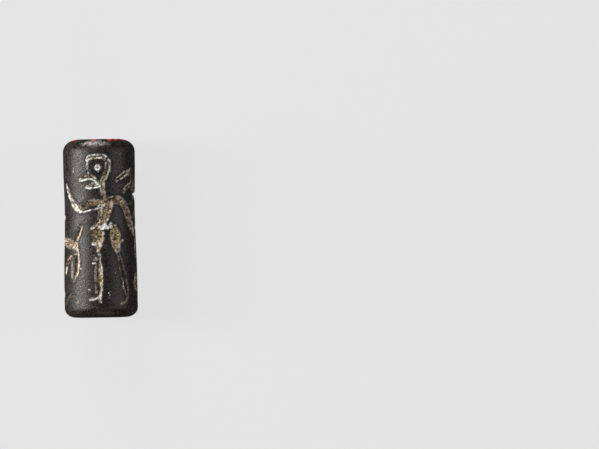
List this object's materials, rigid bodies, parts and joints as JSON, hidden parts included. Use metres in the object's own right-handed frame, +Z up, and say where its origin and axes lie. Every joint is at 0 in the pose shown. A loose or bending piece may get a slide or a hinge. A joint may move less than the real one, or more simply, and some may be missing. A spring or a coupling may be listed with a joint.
{
  "type": "cylinder seal",
  "caption": "Ancient cylinder seal of dark stone, engraved all round with bird-headed figures and horned animals, bored lengthwise.",
  "frame": {"origin": "below the middle of the lying seal, on the surface it rests on", "axes": "+Y along the bore towards the seal's upper end, +Z up, +X to the right when the lying seal is seen from above with its upper end away from the viewer"},
  "size_m": [0.0108, 0.026, 0.0105],
  "materials": {
    "dark_stone": "worn satin, with pale earth left in the engraving"
  },
  "bodies": {
    "root": {"seal": "dark_stone"}
  },
  "joints": []
}
